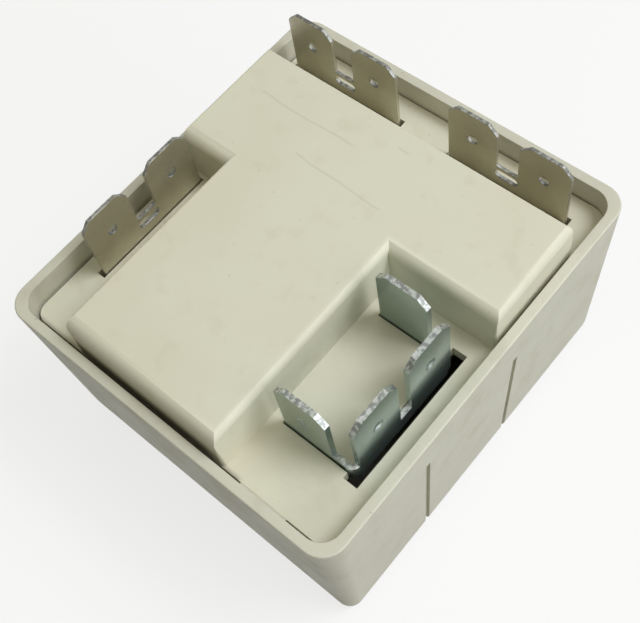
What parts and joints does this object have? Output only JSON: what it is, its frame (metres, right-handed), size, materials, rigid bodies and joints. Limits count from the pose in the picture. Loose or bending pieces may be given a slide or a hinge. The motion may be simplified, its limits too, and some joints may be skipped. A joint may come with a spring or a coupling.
{
  "type": "compressor start relay",
  "caption": "Start relay in a cream moulded case, with a recessed terminal cover, push-on tabs and a coil-driven contact inside.",
  "frame": {"origin": "centre of the case's outline, on its flat back", "axes": "+Z out of the terminal side, +Y towards the row of four tabs, +X towards the grooved side"},
  "size_m": [0.0454, 0.0498, 0.0332],
  "materials": {
    "case_plastic": "satin moulded",
    "cover_plastic": "satin moulded",
    "terminal_metal": "tinned sheet",
    "zinc_metal": "bright plated sheet",
    "frame_steel": "plated steel",
    "copper": "plain copper",
    "enamelled_wire": "enamelled copper wire",
    "tape": "film tape",
    "former_plastic": "moulded",
    "pusher_plastic": "moulded",
    "brass": "plain brass",
    "bronze": "spring bronze",
    "silver_contact": "silver alloy",
    "lead_sleeve": "sleeved wire"
  },
  "bodies": {
    "relay_body": {"outer_case": "case_plastic", "terminal_cover": "cover_plastic", "row_terminal_left": "terminal_metal", "row_terminal_right": "terminal_metal", "side_terminal": "terminal_metal", "quad_terminal": "zinc_metal", "yoke": "frame_steel", "core": "frame_steel", "shading_ring": "copper", "coil_former": "former_plastic", "winding": "enamelled_wire", "coil_tape": "tape", "coil_pins": "brass", "hinge_pin": "frame_steel", "return_spring": "frame_steel", "fixed_contact": "silver_contact", "leaf_rivet": "brass", "side_lead": "lead_sleeve", "row_lead": "lead_sleeve"},
    "armature_body": {"armature": "frame_steel", "pusher": "pusher_plastic", "pusher_rivets": "brass"},
    "leaf_body": {"contact_leaf": "bronze", "moving_contact": "silver_contact"}
  },
  "joints": [
    {"name": "armature_swing", "type": "hinge", "parent": "relay_body", "child": "armature_body", "pos_m": [-0.003, 0.0099, 0.0052], "axis": [1, 0, 0], "range_deg": [0, 4.5], "stiffness_Nm_per_rad": 0.004, "springref_deg": -5.73, "deforming": ["return_spring"]},
    {"name": "leaf_flex", "type": "hinge", "parent": "relay_body", "child": "leaf_body", "pos_m": [0.0078, 0.01979, 0.019], "axis": [0, 0, 1], "range_deg": [0, 2.6]}
  ],
  "couplings": [
    {"joint": "leaf_flex", "follows": "armature_swing", "ratio": 0.577}
  ]
}
